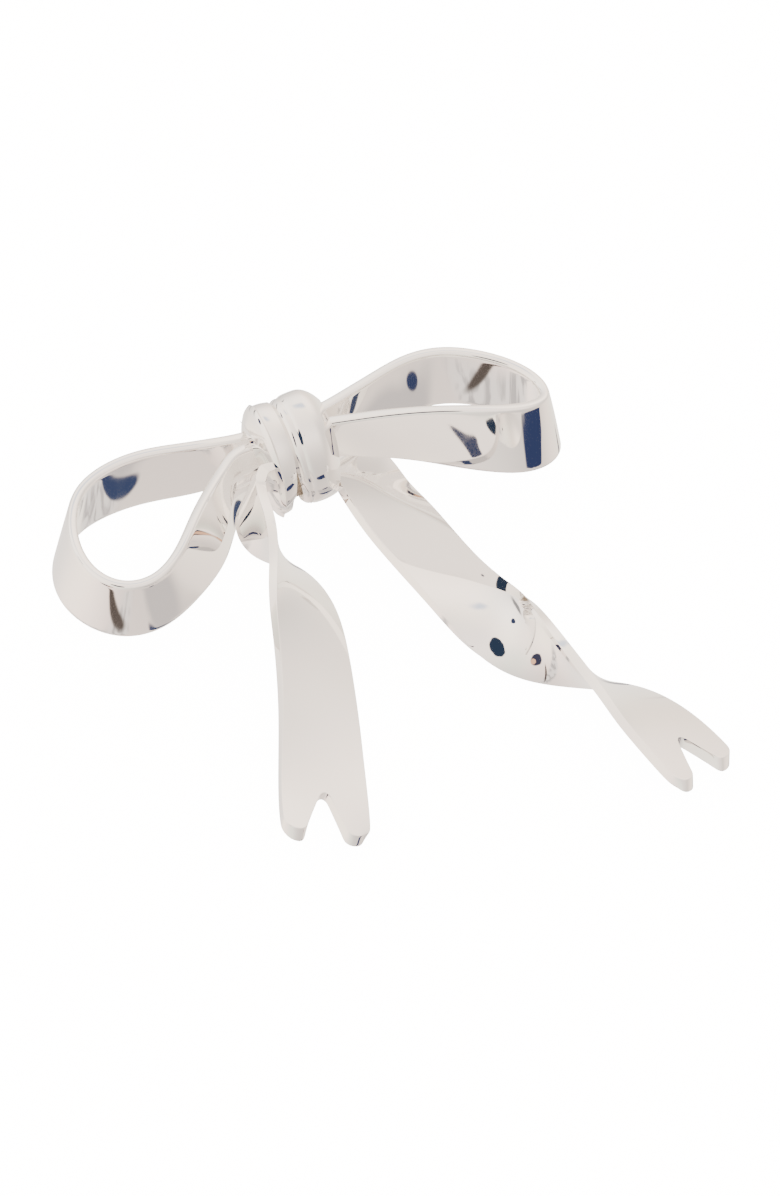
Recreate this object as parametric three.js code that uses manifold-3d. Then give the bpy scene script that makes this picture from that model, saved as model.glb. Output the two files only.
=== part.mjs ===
// Ribbon-bow brooch in polished silver-coloured metal, with a hinged pin and a turning safety catch.
// Millimetres. +X runs along the bow to the wearer's left, +Y is up on the garment, +Z points away
// from it. Shapes are drawn with the knot's axis at x = y = 0, and z = 0 at the feet of the pin's hinge.
// The assembly then moves the middle of the lower foot to the origin.
import * as THREE from 'three';
import { mergeVertices } from 'three/addons/utils/BufferGeometryUtils.js';
import Module from 'manifold-3d';

const wasm = await Module();
wasm.setup();

// ---- driving dimensions ----
const GAP = 0.3; // clearance left between soldered neighbours
const RIBBON_THICK = 1.2;
const RIBBON_CHAMFER = 0.3;
const RINGS_PER_SPAN = 4;

const KNOT_Z = 11.2;
const KNOT_THICK = 1.1;
const KNOT_STEPS = 28;
const KNOT_SHOULDER = 0.45; // how far the pleats' long edges are eased
const KNOT_EASE = 0.4; // share of the thickness that is eased
const GATHER_FROM = -4.5; // heights above the axis between which the pleats draw together
const GATHER_TO = 3.0;
const CORE_HALF_LENGTH = 0.8;

const FISHTAIL_DEPTH = 5.0;
const FISHTAIL_HALF_MOUTH = 2.4;
const SLANT_FROM = 0.75; // share of a tail's route where its end starts to slant
const LEFT_SLANT = -0.09;
const RIGHT_SLANT = -0.19;

const PIN_Y = 2.4; // line of the back bar and of the pin
const PIN_Z = 2.1; // height of the hinge rivet and of the pin
const BAR_START_X = -9.0;
const BAR_END_X = 18.8;
const BAR_WIDTH = 2.4;
const BAR_THICK = 1.0;
const BAR_BOTTOM_Z = 4.5;
const FITTING_TOP_Z = BAR_BOTTOM_Z - GAP;
const FITTING_BASE_THICK = 0.6;

const HINGE_X = -6.9;
const HINGE_LENGTH = 3.4;
const EAR_GAP = 1.1;
const EAR_THICK = (BAR_WIDTH - EAR_GAP) / 2;
const EAR_CORNER = 0.8;
const FOOT_Y = PIN_Y - BAR_WIDTH / 2 + EAR_THICK / 2; // middle of the lower ear's foot
const RIVET_RADIUS = 0.42;
const RIVET_HOLE_RADIUS = 0.5;
const RIVET_HEAD_RADIUS = 0.75;
const RIVET_HEAD_THICK = 0.3;
const RIVET_HEAD_EDGE = 0.15;
const RIVET_HEAD_CLEARANCE = 0.06;

const KNUCKLE_RADIUS = 1.35;
const KNUCKLE_THICK = 0.9;
const STEM_RADIUS = 0.42;
const STEM_TIP_X = 17.9;
const STEM_TAPER = 5.0;

const CATCH_X = 15.6;
const CATCH_LENGTH = 3.4;
const CHEEK_THICK = 0.9;
const CHEEK_RADIUS = 1.9;
const CHEEK_BORE = 1.36;
const CHEEK_MOUTH = 1.5;
const ROTOR_RADIUS = 1.26;
const ROTOR_BORE = 0.68;
const ROTOR_MOUTH = 1.1;
const TAB_RADIUS = 2.1;
const TAB_THICK = 1.2;
const TAB_ANGLE = 20;
const TAB_SPREAD = 40;

// ---- ribbon routes: [x, y, z, roll in degrees, width] ----
// Roll 0 lies flat with the first edge on the left of the route, roll 90 stands on edge with it upward.
const LEFT_LOOP = [
  [-1.6, 2.1, 10.9, 90, 5.6],
  [-4.5, 2.2, 10.7, 90, 6.0],
  [-7.8, 2.3, 10.5, 90, 8.0],
  [-11.5, 3.0, 10.3, 90, 8.8],
  [-16.0, 4.0, 10.3, 91, 9.2],
  [-20.5, 4.0, 10.3, 93, 9.2],
  [-24.5, 2.7, 10.3, 98, 9.2],
  [-27.3, -0.4, 10.2, 104, 9.2],
  [-28.4, -4.4, 10.0, 104, 9.2],
  [-27.4, -8.5, 9.8, 97, 9.2],
  [-24.6, -11.2, 9.6, 92, 9.2],
  [-20.7, -11.6, 9.6, 92, 9.2],
  [-16.8, -9.8, 9.9, 98, 9.2],
  [-13.2, -6.9, 10.1, 107, 9.2],
  [-10.5, -4.1, 10.0, 105, 8.8],
  [-8.2, -1.6, 9.9, 101, 8.2],
  [-6.2, 0.1, 10.4, 98, 7.3],
  [-4.2, 0.5, 10.6, 93, 6.0],
  [-1.6, 0.4, 10.6, 90, 5.6],
];
const RIGHT_LOOP = [
  [1.6, 2.1, 10.8, 90, 5.6],
  [4.5, 2.0, 10.7, 92, 6.4],
  [8.0, 2.0, 10.7, 94, 8.0],
  [11.5, 2.4, 10.9, 93, 8.8],
  [15.7, 2.9, 11.1, 93, 9.2],
  [19.8, 2.3, 11.0, 92, 9.2],
  [23.6, 0.3, 10.7, 90, 9.2],
  [26.7, -2.6, 10.4, 89, 9.2],
  [28.4, -6.1, 10.4, 85, 9.2],
  [27.8, -8.9, 10.8, 77, 9.2],
  [24.9, -9.8, 11.3, 73, 9.2],
  [21.2, -8.7, 11.7, 76, 9.2],
  [17.4, -6.6, 11.7, 81, 9.0],
  [13.8, -4.3, 11.4, 87, 8.6],
  [10.1, -2.3, 11.1, 90, 7.8],
  [6.5, -0.7, 10.9, 92, 6.9],
  [4.0, 0.2, 10.8, 91, 6.2],
  [1.6, 0.4, 10.8, 90, 5.6],
];
const LEFT_TAIL = [
  [-1.7, -1.6, 10.4, 90, 4.2],
  [-4.4, -2.1, 10.5, 98, 4.6],
  [-6.9, -4.7, 11.2, 112, 6.6],
  [-7.5, -8.4, 10.4, 100, 8.4],
  [-6.6, -12.3, 9.1, 65, 9.2],
  [-6.4, -16.7, 7.6, 43, 9.3],
  [-7.3, -21.2, 6.4, 35, 9.2],
  [-8.7, -25.7, 5.6, 31, 9.2],
  [-10.3, -30.2, 5.0, 27, 9.3],
  [-12.1, -34.7, 4.4, 22, 9.5],
  [-13.9, -39.2, 3.9, 18, 9.8],
  [-15.2, -42.7, 3.6, 20, 9.8],
  [-15.5, -43.8, 3.5, 20, 8.9],
];
const RIGHT_TAIL = [
  [8.2, 0.2, 5.0, 8, 5.6],
  [8.0, -2.0, 5.2, 18, 7.8],
  [8.0, -5.5, 5.5, 25, 9.0],
  [8.6, -9.7, 5.5, 19, 9.2],
  [9.3, -13.9, 5.5, 18, 9.2],
  [10.1, -18.1, 5.5, 18, 9.2],
  [11.1, -22.3, 5.5, 11, 8.9],
  [12.3, -26.4, 5.4, -12, 8.4],
  [13.9, -30.3, 5.3, -50, 8.2],
  [16.2, -34.2, 5.1, -88, 8.6],
  [18.9, -38.2, 4.7, -118, 9.2],
  [21.6, -42.4, 4.2, -142, 9.6],
  [23.5, -47.5, 3.9, -154, 9.7],
  [24.7, -52.4, 3.7, -156, 9.8],
  [25.0, -53.8, 3.7, -156, 8.9],
];

// Outline of the wrapped knot across the bow: [y, height above the knot's axis].
const KNOT_OUTLINE = [
  [3.6, 4.8],
  [0.8, 5.3],
  [-2.2, 4.0],
  [-4.4, 0.9],
  [-5.1, -2.5],
  [-4.3, -5.4],
  [-1.6, -5.8],
  [1.0, -5.2],
  [3.6, -4.5],
  [5.0, -2.0],
  [5.2, 1.6],
];

// ---- materials ----
const silver = (roughness) => new THREE.MeshStandardMaterial({ color: 0xd9d6d2, roughness, metalness: 1 });
const steel = (roughness) => new THREE.MeshStandardMaterial({ color: 0xb9bbbe, roughness, metalness: 1 });

// ---- geometry helpers ----
function meshFromRings(rings, closed) {
  const sides = rings[0].length;
  const position = rings.flat().flatMap((p) => [p.x, p.y, p.z]);
  const index = [];
  const last = closed ? rings.length : rings.length - 1;
  for (let i = 0; i < last; i += 1) {
    const here = i * sides;
    const next = ((i + 1) % rings.length) * sides;
    for (let k = 0; k < sides; k += 1) {
      const m = (k + 1) % sides;
      index.push(here + k, next + m, here + m, here + k, next + k, next + m);
    }
  }
  if (!closed) {
    const end = (rings.length - 1) * sides;
    for (let k = 1; k < sides - 1; k += 1) {
      index.push(0, k, k + 1);
      index.push(end, end + k + 1, end + k);
    }
  }
  const geometry = new THREE.BufferGeometry();
  geometry.setAttribute('position', new THREE.Float32BufferAttribute(position, 3));
  geometry.setIndex(index);
  geometry.computeVertexNormals();
  return geometry;
}

function toManifold(geometry) {
  const bare = new THREE.BufferGeometry();
  bare.setAttribute('position', geometry.getAttribute('position'));
  bare.setIndex(geometry.getIndex());
  const merged = mergeVertices(bare, 1e-4);
  return new wasm.Manifold(new wasm.Mesh({
    numProp: 3,
    vertProperties: new Float32Array(merged.getAttribute('position').array),
    triVerts: new Uint32Array(merged.getIndex().array),
  }));
}

function fromManifold(solid) {
  const mesh = solid.getMesh();
  const geometry = new THREE.BufferGeometry();
  geometry.setAttribute('position', new THREE.BufferAttribute(new Float32Array(mesh.vertProperties), 3));
  geometry.setIndex(new THREE.BufferAttribute(new Uint32Array(mesh.triVerts), 1));
  geometry.computeVertexNormals();
  return geometry;
}

function extruded(shape, depth, curveSegments) {
  return new THREE.ExtrudeGeometry(shape, { depth, bevelEnabled: false, curveSegments });
}

// An outline drawn across the pin's line, in (y, z), swept along x from startX.
function sweptAlongX(shape, startX, length, curveSegments) {
  const axes = new THREE.Matrix4().set(0, 0, 1, startX, 1, 0, 0, 0, 0, 1, 0, 0, 0, 0, 0, 1);
  return extruded(shape, length, curveSegments).applyMatrix4(axes);
}

// An outline drawn from the side, in (x, z), swept along y from startY.
function sweptAlongY(shape, startY, depth, curveSegments) {
  const axes = new THREE.Matrix4().set(1, 0, 0, 0, 0, 0, -1, startY + depth, 0, 1, 0, 0, 0, 0, 0, 1);
  return extruded(shape, depth, curveSegments).applyMatrix4(axes);
}

function rectangle(x0, y0, x1, y1) {
  return new THREE.Shape([
    new THREE.Vector2(x0, y0),
    new THREE.Vector2(x1, y0),
    new THREE.Vector2(x1, y1),
    new THREE.Vector2(x0, y1),
  ]);
}

// ---- ribbons ----
function ribbonFrame(route, sizes, u) {
  const centre = route.getPoint(u);
  const along = route.getTangent(u);
  const [roll, width] = sizes.getPoint(u).toArray();
  const side = along.clone().cross(new THREE.Vector3(0, 0, 1)).normalize();
  const up = side.clone().cross(along);
  const angle = THREE.MathUtils.degToRad(roll);
  const across = side.multiplyScalar(Math.cos(angle)).addScaledVector(up, Math.sin(angle));
  const face = across.clone().cross(along);
  return { centre, along, across, face, width };
}

function ribbonSection({ centre, along, across, face, width }, slant) {
  const w = width / 2;
  const t = RIBBON_THICK / 2;
  const c = RIBBON_CHAMFER;
  const outline = [
    [w, c - t],
    [w, t - c],
    [w - c, t],
    [c - w, t],
    [-w, t - c],
    [-w, c - t],
    [c - w, -t],
    [w - c, -t],
  ];
  const edge = across.clone().addScaledVector(along, slant);
  return outline.map(([a, f]) => centre.clone().addScaledVector(edge, a).addScaledVector(face, f));
}

function ribbonCurves(stations) {
  const route = new THREE.CatmullRomCurve3(stations.map(([x, y, z]) => new THREE.Vector3(x, y, z)));
  route.curveType = 'catmullrom';
  const sizes = new THREE.CatmullRomCurve3(stations.map(([, , , roll, w]) => new THREE.Vector3(roll, w, 0)));
  sizes.curveType = 'catmullrom';
  return { route, sizes };
}

// slant moves one corner of the far end along the route and the other back.
function ribbon(stations, slant) {
  const { route, sizes } = ribbonCurves(stations);
  const count = (stations.length - 1) * RINGS_PER_SPAN;
  const rings = [];
  for (let i = 0; i <= count; i += 1) {
    const u = i / count;
    const slantHere = slant * THREE.MathUtils.smoothstep(u, SLANT_FROM, 1);
    rings.push(ribbonSection(ribbonFrame(route, sizes, u), slantHere));
  }
  return meshFromRings(rings, false);
}

// A tail is a ribbon whose free end is cut to a swallow-tail by a three-sided wedge.
function tail(stations, slant) {
  const { route, sizes } = ribbonCurves(stations);
  const { centre, along, across, face } = ribbonFrame(route, sizes, 1);
  const wedge = new THREE.Shape([
    new THREE.Vector2(0, -FISHTAIL_DEPTH),
    new THREE.Vector2(2 * FISHTAIL_HALF_MOUTH, FISHTAIL_DEPTH),
    new THREE.Vector2(-2 * FISHTAIL_HALF_MOUTH, FISHTAIL_DEPTH),
  ]);
  const cutter = extruded(wedge, 6 * RIBBON_THICK, 1).translate(0, 0, -3 * RIBBON_THICK);
  cutter.applyMatrix4(new THREE.Matrix4().makeBasis(across, along, across.clone().cross(along)));
  cutter.translate(centre.x, centre.y, centre.z);
  return fromManifold(toManifold(ribbon(stations, slant)).subtract(toManifold(cutter)));
}

// ---- knot ----
const knotPath = new THREE.CatmullRomCurve3(
  KNOT_OUTLINE.map(([y, z]) => new THREE.Vector3(0, y, KNOT_Z + z)),
  true,
  'catmullrom',
);

// Point of the knot's outline at u, moved inward by depth.
function knotPoint(u, depth) {
  const along = knotPath.getTangent(u);
  const outward = new THREE.Vector3(0, along.z, -along.y);
  return knotPath.getPoint(u).addScaledVector(outward, -depth);
}

// One pleat of the wrapping strip. Its two edges draw together towards the knot's underside.
function pleat([topLeft, topRight], [bottomLeft, bottomRight]) {
  const rings = [];
  for (let i = 0; i < KNOT_STEPS; i += 1) {
    const u = i / KNOT_STEPS;
    const outer = knotPoint(u, 0);
    const inner = knotPoint(u, KNOT_THICK);
    const rise = THREE.MathUtils.smoothstep(outer.z, KNOT_Z + GATHER_FROM, KNOT_Z + GATHER_TO);
    const left = THREE.MathUtils.lerp(bottomLeft, topLeft, rise);
    const right = THREE.MathUtils.lerp(bottomRight, topRight, rise);
    const section = [
      [left, 1],
      [left, KNOT_EASE],
      [left + KNOT_SHOULDER, 0],
      [right - KNOT_SHOULDER, 0],
      [right, KNOT_EASE],
      [right, 1],
    ];
    rings.push(section.map(([x, depth]) => outer.clone().lerp(inner, depth).setX(x)));
  }
  return meshFromRings(rings, true);
}

// The block that the ribbon ends are soldered to, inside the pleats.
function knotCore() {
  const points = [];
  for (let i = 0; i < KNOT_STEPS; i += 1) {
    const p = knotPoint(i / KNOT_STEPS, KNOT_THICK + GAP);
    points.push(new THREE.Vector2(p.y, p.z));
  }
  return sweptAlongX(new THREE.Shape(points), -CORE_HALF_LENGTH, 2 * CORE_HALF_LENGTH, 1);
}

// ---- back bar and pin ----
function backBar() {
  const r = BAR_WIDTH / 2;
  const shape = new THREE.Shape();
  shape.moveTo(BAR_START_X + r, PIN_Y - r);
  shape.lineTo(BAR_END_X - r, PIN_Y - r);
  shape.absarc(BAR_END_X - r, PIN_Y, r, -Math.PI / 2, Math.PI / 2, false);
  shape.lineTo(BAR_START_X + r, PIN_Y + r);
  shape.absarc(BAR_START_X + r, PIN_Y, r, Math.PI / 2, 1.5 * Math.PI, false);
  return extruded(shape, BAR_THICK, 10).translate(0, 0, BAR_BOTTOM_Z);
}

function earShape() {
  const half = HINGE_LENGTH / 2;
  const shape = new THREE.Shape();
  shape.moveTo(HINGE_X - half, FITTING_TOP_Z);
  shape.lineTo(HINGE_X - half, EAR_CORNER);
  shape.absarc(HINGE_X - half + EAR_CORNER, EAR_CORNER, EAR_CORNER, Math.PI, 1.5 * Math.PI, false);
  shape.absarc(HINGE_X + half - EAR_CORNER, EAR_CORNER, EAR_CORNER, 1.5 * Math.PI, 2 * Math.PI, false);
  shape.lineTo(HINGE_X + half, FITTING_TOP_Z);
  const hole = new THREE.Path();
  hole.absarc(HINGE_X, PIN_Z, RIVET_HOLE_RADIUS, 0, 2 * Math.PI, false);
  shape.holes.push(hole);
  return shape;
}

// Two ears joined by a base: the fixed half of the pin's hinge.
function hingeBlock() {
  const half = HINGE_LENGTH / 2;
  const near = sweptAlongY(earShape(), PIN_Y - BAR_WIDTH / 2, EAR_THICK, 8);
  const far = sweptAlongY(earShape(), PIN_Y + EAR_GAP / 2, EAR_THICK, 8);
  const base = new THREE.BoxGeometry(HINGE_LENGTH, BAR_WIDTH, FITTING_BASE_THICK);
  base.translate(HINGE_X, PIN_Y, FITTING_TOP_Z - FITTING_BASE_THICK / 2);
  return fromManifold(toManifold(near).add(toManifold(far)).add(toManifold(base)));
}

function hingeRivet() {
  const shaft = BAR_WIDTH / 2 + RIVET_HEAD_CLEARANCE;
  const end = shaft + RIVET_HEAD_THICK;
  const profile = [
    [0, -end],
    [RIVET_HEAD_RADIUS - RIVET_HEAD_EDGE, -end],
    [RIVET_HEAD_RADIUS, RIVET_HEAD_EDGE - end],
    [RIVET_HEAD_RADIUS, -shaft],
    [RIVET_RADIUS, -shaft],
    [RIVET_RADIUS, shaft],
    [RIVET_HEAD_RADIUS, shaft],
    [RIVET_HEAD_RADIUS, end - RIVET_HEAD_EDGE],
    [RIVET_HEAD_RADIUS - RIVET_HEAD_EDGE, end],
    [0, end],
  ];
  const geometry = new THREE.LatheGeometry(profile.map(([r, y]) => new THREE.Vector2(r, y)), 20);
  return geometry.translate(HINGE_X, PIN_Y, PIN_Z);
}

// The knuckle and the tapering wire that goes through the cloth.
function pinStem() {
  const disc = new THREE.Shape();
  disc.absarc(HINGE_X, PIN_Z, KNUCKLE_RADIUS, 0, 2 * Math.PI, false);
  const hole = new THREE.Path();
  hole.absarc(HINGE_X, PIN_Z, RIVET_HOLE_RADIUS, 0, 2 * Math.PI, false);
  disc.holes.push(hole);
  const knuckle = sweptAlongY(disc, PIN_Y - KNUCKLE_THICK / 2, KNUCKLE_THICK, 10);
  const root = HINGE_X + (RIVET_HOLE_RADIUS + KNUCKLE_RADIUS) / 2;
  const length = STEM_TIP_X - root;
  const profile = [
    [0, 0],
    [STEM_RADIUS, 0],
    [STEM_RADIUS, length - STEM_TAPER],
    [0.6 * STEM_RADIUS, length - STEM_TAPER / 3],
    [0, length],
  ];
  const wire = new THREE.LatheGeometry(profile.map(([r, y]) => new THREE.Vector2(r, y)), 14);
  wire.rotateZ(-Math.PI / 2).translate(root, PIN_Y, PIN_Z);
  return fromManifold(toManifold(knuckle).add(toManifold(wire)));
}

// ---- safety catch ----
// A ring about the pin's line, drawn in (y, z), with a mouth of the given width facing the cloth.
function openRing(radius, bore, mouth) {
  const outerHalf = Math.asin(mouth / 2 / radius);
  const innerHalf = Math.asin(mouth / 2 / bore);
  const down = -Math.PI / 2;
  const shape = new THREE.Shape();
  shape.absarc(PIN_Y, PIN_Z, radius, down + outerHalf, down + 2 * Math.PI - outerHalf, false);
  shape.absarc(PIN_Y, PIN_Z, bore, down + 2 * Math.PI - innerHalf, down + innerHalf, true);
  return shape;
}

// Two open cheeks that hang from one base, soldered under the bar.
function catchBody() {
  const start = CATCH_X - CATCH_LENGTH / 2;
  const end = CATCH_X + CATCH_LENGTH / 2;
  const half = BAR_WIDTH / 2;
  const neckBottom = PIN_Z + (CHEEK_BORE + CHEEK_RADIUS) / 2;
  const neck = rectangle(PIN_Y - half, neckBottom, PIN_Y + half, FITTING_TOP_Z);
  const base = rectangle(PIN_Y - half, FITTING_TOP_Z - FITTING_BASE_THICK, PIN_Y + half, FITTING_TOP_Z);
  let body = toManifold(sweptAlongX(base, start, CATCH_LENGTH, 1));
  for (const x of [start, end - CHEEK_THICK]) {
    const cheek = sweptAlongX(openRing(CHEEK_RADIUS, CHEEK_BORE, CHEEK_MOUTH), x, CHEEK_THICK, 28);
    body = body.add(toManifold(cheek));
    body = body.add(toManifold(sweptAlongX(neck, x, CHEEK_THICK, 1)));
  }
  return fromManifold(body);
}

// The slotted sleeve that turns in the cheeks and shuts the mouth, with its thumb tab.
function catchSleeve() {
  const length = CATCH_LENGTH + 2 * GAP;
  const ring = openRing(ROTOR_RADIUS, ROTOR_BORE, ROTOR_MOUTH);
  const sleeve = sweptAlongX(ring, CATCH_X - length / 2, length, 28);
  const middle = THREE.MathUtils.degToRad(TAB_ANGLE);
  const spread = THREE.MathUtils.degToRad(TAB_SPREAD / 2);
  const root = (ROTOR_RADIUS + ROTOR_BORE) / 2;
  const shape = new THREE.Shape();
  shape.absarc(PIN_Y, PIN_Z, TAB_RADIUS, middle - spread, middle + spread, false);
  shape.absarc(PIN_Y, PIN_Z, root, middle + spread, middle - spread, true);
  const tab = sweptAlongX(shape, CATCH_X - TAB_THICK / 2, TAB_THICK, 5);
  return fromManifold(toManifold(sleeve).add(toManifold(tab)));
}

// ---- assembly ----
const brooch = new THREE.Group();

function addPart(name, geometry, material) {
  const mesh = new THREE.Mesh(geometry.translate(-HINGE_X, -FOOT_Y, 0), material);
  mesh.name = name;
  brooch.add(mesh);
}

addPart('left_loop', ribbon(LEFT_LOOP, 0), silver(0.06));
addPart('right_loop', ribbon(RIGHT_LOOP, 0), silver(0.06));
addPart('left_tail', tail(LEFT_TAIL, LEFT_SLANT), silver(0.07));
addPart('right_tail', tail(RIGHT_TAIL, RIGHT_SLANT), silver(0.07));
addPart('knot_narrow_pleat', pleat([-3.8, -1.0], [-3.6, -1.7]), silver(0.08));
addPart('knot_wide_pleat', pleat([-0.6, 4.4], [-0.2, 3.6]), silver(0.08));
addPart('knot_core', knotCore(), silver(0.3));
addPart('back_bar', backBar(), silver(0.15));
addPart('hinge_block', hingeBlock(), silver(0.2));
addPart('hinge_rivet', hingeRivet(), steel(0.25));
addPart('pin_stem', pinStem(), steel(0.15));
addPart('catch_body', catchBody(), silver(0.2));
addPart('catch_sleeve', catchSleeve(), silver(0.15));

export default brooch;
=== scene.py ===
import math

import bpy
import numpy as np
from mathutils import Matrix, Vector


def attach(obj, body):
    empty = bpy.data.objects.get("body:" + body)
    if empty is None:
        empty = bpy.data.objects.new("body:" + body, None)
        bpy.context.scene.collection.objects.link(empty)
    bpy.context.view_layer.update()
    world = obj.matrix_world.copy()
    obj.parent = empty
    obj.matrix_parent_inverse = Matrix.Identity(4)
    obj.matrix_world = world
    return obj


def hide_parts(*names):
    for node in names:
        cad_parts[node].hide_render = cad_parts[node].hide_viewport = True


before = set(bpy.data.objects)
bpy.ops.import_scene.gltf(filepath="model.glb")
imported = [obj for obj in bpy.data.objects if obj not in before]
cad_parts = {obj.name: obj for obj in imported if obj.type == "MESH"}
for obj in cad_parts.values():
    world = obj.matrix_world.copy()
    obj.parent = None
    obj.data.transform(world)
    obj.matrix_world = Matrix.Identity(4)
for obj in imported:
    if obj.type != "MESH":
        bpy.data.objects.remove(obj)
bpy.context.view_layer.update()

bl_info = {
    "name": "Ribbon-bow brooch",
    "version": (1, 0, 0),
    "blender": (4, 5, 0),
    "location": "3D View > Sidebar > Brooch",
    "description": "Builds a polished ribbon-bow brooch with its pin and catch round its CAD frame",
    "category": "Add Mesh",
}

MM = 0.001
KNOT_AT = (6.9, -1.525)  # the knot's axis from the origin, mm

# Ribbon routes as in the CAD source: x, y, z, roll in degrees, width, in millimetres.
# Roll 0 lies flat with the first edge on the left of the route, roll 90 stands on edge, that edge up.
LEFT_LOOP = (
    (-1.6, 2.1, 10.9, 90, 5.6),
    (-4.5, 2.2, 10.7, 90, 6.0),
    (-7.8, 2.3, 10.5, 90, 8.0),
    (-11.5, 3.0, 10.3, 90, 8.8),
    (-16.0, 4.0, 10.3, 91, 9.2),
    (-20.5, 4.0, 10.3, 93, 9.2),
    (-24.5, 2.7, 10.3, 98, 9.2),
    (-27.3, -0.4, 10.2, 104, 9.2),
    (-28.4, -4.4, 10.0, 104, 9.2),
    (-27.4, -8.5, 9.8, 97, 9.2),
    (-24.6, -11.2, 9.6, 92, 9.2),
    (-20.7, -11.6, 9.6, 92, 9.2),
    (-16.8, -9.8, 9.9, 98, 9.2),
    (-13.2, -6.9, 10.1, 107, 9.2),
    (-10.5, -4.1, 10.0, 105, 8.8),
    (-8.2, -1.6, 9.9, 101, 8.2),
    (-6.2, 0.1, 10.4, 98, 7.3),
    (-4.2, 0.5, 10.6, 93, 6.0),
    (-1.6, 0.4, 10.6, 90, 5.6),
)
RIGHT_LOOP = (
    (1.6, 2.1, 10.8, 90, 5.6),
    (4.5, 2.0, 10.7, 92, 6.4),
    (8.0, 2.0, 10.7, 94, 8.0),
    (11.5, 2.4, 10.9, 93, 8.8),
    (15.7, 2.9, 11.1, 93, 9.2),
    (19.8, 2.3, 11.0, 92, 9.2),
    (23.6, 0.3, 10.7, 90, 9.2),
    (26.7, -2.6, 10.4, 89, 9.2),
    (28.4, -6.1, 10.4, 85, 9.2),
    (27.8, -8.9, 10.8, 77, 9.2),
    (24.9, -9.8, 11.3, 73, 9.2),
    (21.2, -8.7, 11.7, 76, 9.2),
    (17.4, -6.6, 11.7, 81, 9.0),
    (13.8, -4.3, 11.4, 87, 8.6),
    (10.1, -2.3, 11.1, 90, 7.8),
    (6.5, -0.7, 10.9, 92, 6.9),
    (4.0, 0.2, 10.8, 91, 6.2),
    (1.6, 0.4, 10.8, 90, 5.6),
)
LEFT_TAIL = (
    (-1.7, -1.6, 10.4, 90, 4.2),
    (-4.4, -2.1, 10.5, 98, 4.6),
    (-6.9, -4.7, 11.2, 112, 6.6),
    (-7.5, -8.4, 10.4, 100, 8.4),
    (-6.6, -12.3, 9.1, 65, 9.2),
    (-6.4, -16.7, 7.6, 43, 9.3),
    (-7.3, -21.2, 6.4, 35, 9.2),
    (-8.7, -25.7, 5.6, 31, 9.2),
    (-10.3, -30.2, 5.0, 27, 9.3),
    (-12.1, -34.7, 4.4, 22, 9.5),
    (-13.9, -39.2, 3.9, 18, 9.8),
    (-15.2, -42.7, 3.6, 20, 9.8),
    (-15.5, -43.8, 3.5, 20, 8.9),
)
RIGHT_TAIL = (
    (8.2, 0.2, 5.0, 8, 5.6),
    (8.0, -2.0, 5.2, 18, 7.8),
    (8.0, -5.5, 5.5, 25, 9.0),
    (8.6, -9.7, 5.5, 19, 9.2),
    (9.3, -13.9, 5.5, 18, 9.2),
    (10.1, -18.1, 5.5, 18, 9.2),
    (11.1, -22.3, 5.5, 11, 8.9),
    (12.3, -26.4, 5.4, -12, 8.4),
    (13.9, -30.3, 5.3, -50, 8.2),
    (16.2, -34.2, 5.1, -88, 8.6),
    (18.9, -38.2, 4.7, -118, 9.2),
    (21.6, -42.4, 4.2, -142, 9.6),
    (23.5, -47.5, 3.9, -154, 9.7),
    (24.7, -52.4, 3.7, -156, 9.8),
    (25.0, -53.8, 3.7, -156, 8.9),
)
KNOT_Z = 11.2
KNOT_OUTLINE = (
    (3.6, 4.8),
    (0.8, 5.3),
    (-2.2, 4.0),
    (-4.4, 0.9),
    (-5.1, -2.5),
    (-4.3, -5.4),
    (-1.6, -5.8),
    (1.0, -5.2),
    (3.6, -4.5),
    (5.0, -2.0),
    (5.2, 1.6),
)


class BroochSettings(bpy.types.PropertyGroup):
    """Sizes and colours of the brooch."""

    thickness: bpy.props.FloatProperty(
        name="Ribbon thickness", description="Metal thickness of loops and tails, in millimetres",
        default=1.2, min=0.5, max=2.5,
    )
    rounding: bpy.props.FloatProperty(
        name="Edge rounding", description="Radius polished onto the strip's long edges, in millimetres",
        default=0.42, min=0.05, max=0.6,
    )
    crown: bpy.props.FloatProperty(
        name="Crown", description="How far the strip's faces swell in the middle, in millimetres",
        default=0.07, min=0.0, max=0.3,
    )
    notch_depth: bpy.props.FloatProperty(
        name="Notch depth", description="Depth of the swallow-tail cut, in millimetres",
        default=5.3, min=1.0, max=9.0,
    )
    notch_mouth: bpy.props.FloatProperty(
        name="Notch mouth", description="Half width of the swallow-tail cut at its mouth, in millimetres",
        default=2.4, min=1.0, max=4.0,
    )
    silver: bpy.props.FloatVectorProperty(
        name="Silver", description="Colour of the polished metal", subtype="COLOR", size=3,
        default=(0.90, 0.885, 0.865), min=0.0, max=1.0,
    )
    # tarnish colour, also used as painted shade in the knot's folds
    tarnish_and_shade: bpy.props.FloatVectorProperty(
        name="Tarnish and shade", description="Colour of the film left in the knot's folds", subtype="COLOR", size=3,
        default=(0.30, 0.25, 0.19), min=0.0, max=1.0,
    )
    floor: bpy.props.FloatVectorProperty(
        name="Floor", description="Colour of the pale floor", subtype="COLOR", size=3,
        default=(0.93, 0.93, 0.93), min=0.0, max=1.0,
    )


def settings():
    return bpy.context.scene.brooch


# ---- routes ----
STRIP_HALF = 4.6  # half width of a flat blank, before the route scales it
SAMPLES_PER_SPAN = 24
SMOOTHING = 0.45  # how far the route is smoothed, in spans


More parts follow.
